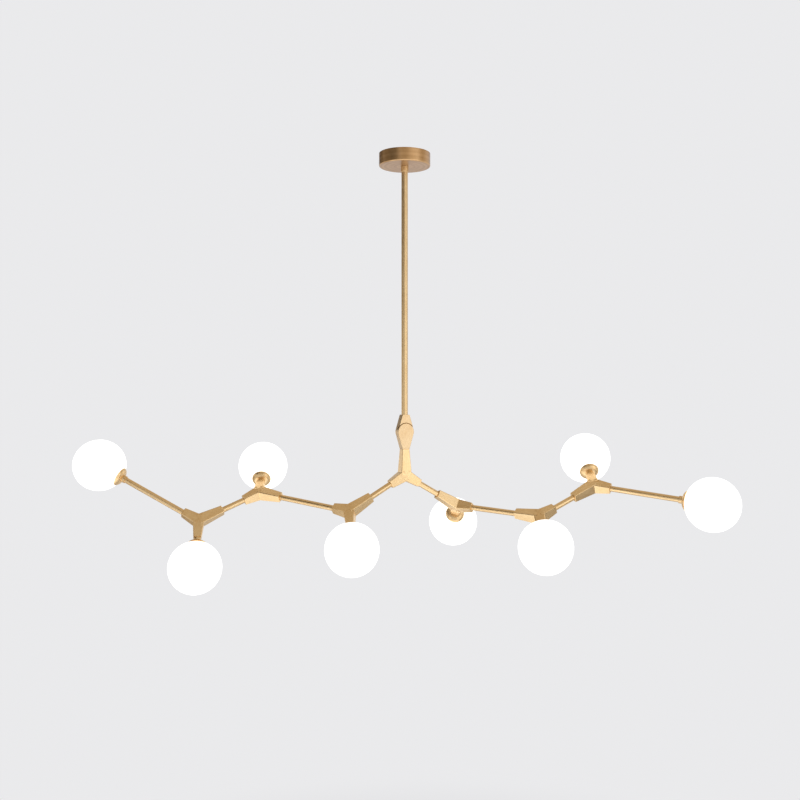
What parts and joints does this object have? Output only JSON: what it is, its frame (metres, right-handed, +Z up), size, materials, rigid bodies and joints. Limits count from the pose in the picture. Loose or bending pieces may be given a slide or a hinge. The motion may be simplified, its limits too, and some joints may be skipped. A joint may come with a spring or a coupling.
{
  "type": "branching globe chandelier",
  "caption": "Modern brushed-brass chandelier: a ceiling canopy and straight rod carry a tilting knuckle and a zigzag of tubes and three-armed hubs, ending in lit opal glass globes.",
  "frame": {"origin": "centre of the ceiling strap on the ceiling plane, on the rod's axis", "axes": "+Z up to the ceiling, +X to the viewer's right along the spread of the branches, +Y away from the viewer"},
  "size_m": [1.5119, 0.4424, 1.0143],
  "materials": {
    "brushed_brass": "satin brushed gold brass",
    "opal_glass": "smooth opal white, lit from inside",
    "frosted_bulb": "frosted, lit",
    "lamp_ceramic": "plain fired ceramic",
    "plain_steel": "zinc plated",
    "terminal_plastic": "moulded white",
    "cable_sheath": "smooth sheath"
  },
  "bodies": {
    "canopy": {"canopy_cup": "brushed_brass", "ceiling_strap": "plain_steel", "hanger_nipple": "plain_steel", "lock_nut": "plain_steel", "terminal_block": "terminal_plastic", "supply_cable": "cable_sheath"},
    "drop": {"canopy_collar": "brushed_brass", "down_rod": "brushed_brass", "knuckle_upper": "brushed_brass"},
    "spine": {"knuckle_lower": "brushed_brass", "knuckle_screw": "plain_steel", "knuckle_washer": "plain_steel", "hub_center": "brushed_brass", "tube_left_1": "brushed_brass", "tube_right_1": "brushed_brass"},
    "branch_left_1": {"hub_left_1": "brushed_brass", "tube_left_2": "brushed_brass", "cup_left_1": "brushed_brass", "socket_left_1": "lamp_ceramic", "bulb_left_1": "frosted_bulb"},
    "branch_left_2": {"hub_left_2": "brushed_brass", "tube_left_3": "brushed_brass", "cup_left_2": "brushed_brass", "socket_left_2": "lamp_ceramic", "bulb_left_2": "frosted_bulb"},
    "branch_left_3": {"hub_left_3": "brushed_brass", "tube_left_4": "brushed_brass", "cup_left_3": "brushed_brass", "socket_left_3": "lamp_ceramic", "bulb_left_3": "frosted_bulb", "cup_left_4": "brushed_brass", "socket_left_4": "lamp_ceramic", "bulb_left_4": "frosted_bulb"},
    "globe_left_1": {"globe_left_1": "opal_glass"},
    "globe_left_2": {"globe_left_2": "opal_glass"},
    "globe_left_3": {"globe_left_3": "opal_glass"},
    "globe_left_4": {"globe_left_4": "opal_glass"},
    "branch_right_1": {"hub_right_1": "brushed_brass", "tube_right_2": "brushed_brass", "cup_right_1": "brushed_brass", "socket_right_1": "lamp_ceramic", "bulb_right_1": "frosted_bulb"},
    "branch_right_2": {"hub_right_2": "brushed_brass", "tube_right_3": "brushed_brass", "cup_right_2": "brushed_brass", "socket_right_2": "lamp_ceramic", "bulb_right_2": "frosted_bulb"},
    "branch_right_3": {"hub_right_3": "brushed_brass", "tube_right_4": "brushed_brass", "cup_right_3": "brushed_brass", "socket_right_3": "lamp_ceramic", "bulb_right_3": "frosted_bulb", "cup_right_4": "brushed_brass", "socket_right_4": "lamp_ceramic", "bulb_right_4": "frosted_bulb"},
    "globe_right_1": {"globe_right_1": "opal_glass"},
    "globe_right_2": {"globe_right_2": "opal_glass"},
    "globe_right_3": {"globe_right_3": "opal_glass"},
    "globe_right_4": {"globe_right_4": "opal_glass"}
  },
  "joints": [
    {"name": "rod_swivel", "type": "hinge", "parent": "canopy", "child": "drop", "pos_m": [0, 0, -0.03], "axis": [0, 0, 1], "range_deg": [-165, 165]},
    {"name": "knuckle_tilt", "type": "hinge", "parent": "drop", "child": "spine", "pos_m": [0, 0, -0.6513], "axis": [-0.4067, 0.9135, 0], "range_deg": [-45, 45]},
    {"name": "hub_left_1_turn", "type": "hinge", "parent": "spine", "child": "branch_left_1", "pos_m": [-0.125, -0.05566, -0.8313], "axis": [-0.7912, -0.3522, -0.5], "range_deg": [-165, 165]},
    {"name": "hub_left_2_turn", "type": "hinge", "parent": "branch_left_1", "child": "branch_left_2", "pos_m": [-0.34871, 0.04917, -0.80017], "axis": [-0.8984, 0.421, 0.125], "range_deg": [-165, 165]},
    {"name": "hub_left_3_turn", "type": "hinge", "parent": "branch_left_2", "child": "branch_left_3", "pos_m": [-0.47771, -0.02125, -0.85818], "axis": [-0.8164, -0.4457, -0.3671], "range_deg": [-165, 165]},
    {"name": "hub_right_1_turn", "type": "hinge", "parent": "spine", "child": "branch_right_1", "pos_m": [0.125, 0.05566, -0.8313], "axis": [0.7912, 0.3522, -0.5], "range_deg": [-165, 165]},
    {"name": "hub_right_2_turn", "type": "hinge", "parent": "branch_right_1", "child": "branch_right_2", "pos_m": [0.30828, -0.06189, -0.84211], "axis": [0.8407, -0.5392, -0.0496], "range_deg": [-165, 165]},
    {"name": "hub_right_3_turn", "type": "hinge", "parent": "branch_right_2", "child": "branch_right_3", "pos_m": [0.44153, -0.00657, -0.77769], "axis": [0.8433, 0.3501, 0.4077], "range_deg": [-165, 165]},
    {"name": "globe_left_1_unscrew", "type": "hinge", "parent": "branch_left_1", "child": "globe_left_1", "pos_m": [-0.11266, -0.14462, -0.90321], "axis": [-0.1073, 0.7732, 0.625], "range_deg": [0, 360]},
    {"name": "globe_left_2_unscrew", "type": "hinge", "parent": "branch_left_2", "child": "globe_left_2", "pos_m": [-0.35814, 0.14889, -0.74355], "axis": [0.082, -0.8667, -0.4921], "range_deg": [0, 360]},
    {"name": "globe_left_3_unscrew", "type": "hinge", "parent": "branch_left_3", "child": "globe_left_3", "pos_m": [-0.47064, -0.08412, -0.95429], "axis": [-0.0614, 0.5464, 0.8353], "range_deg": [0, 360]},
    {"name": "globe_left_4_unscrew", "type": "hinge", "parent": "branch_left_3", "child": "globe_left_4", "pos_m": [-0.71743, 0.00625, -0.73035], "axis": [0.8779, -0.1007, -0.4681], "range_deg": [0, 360]},
    {"name": "globe_right_1_unscrew", "type": "hinge", "parent": "branch_right_1", "child": "globe_right_1", "pos_m": [0.1193, 0.15823, -0.88313], "axis": [0.0496, -0.8914, 0.4504], "range_deg": [0, 360]},
    {"name": "globe_right_2_unscrew", "type": "hinge", "parent": "branch_right_2", "child": "globe_right_2", "pos_m": [0.30798, -0.16422, -0.89472], "axis": [0.0026, 0.8893, 0.4573], "range_deg": [0, 360]},
    {"name": "globe_right_3_unscrew", "type": "hinge", "parent": "branch_right_3", "child": "globe_right_3", "pos_m": [0.44038, 0.09264, -0.71942], "axis": [0.0099, -0.8622, -0.5065], "range_deg": [0, 360]},
    {"name": "globe_right_4_unscrew", "type": "hinge", "parent": "branch_right_3", "child": "globe_right_4", "pos_m": [0.67451, -0.14639, -0.80466], "axis": [-0.8532, 0.5121, 0.0988], "range_deg": [0, 360]}
  ]
}
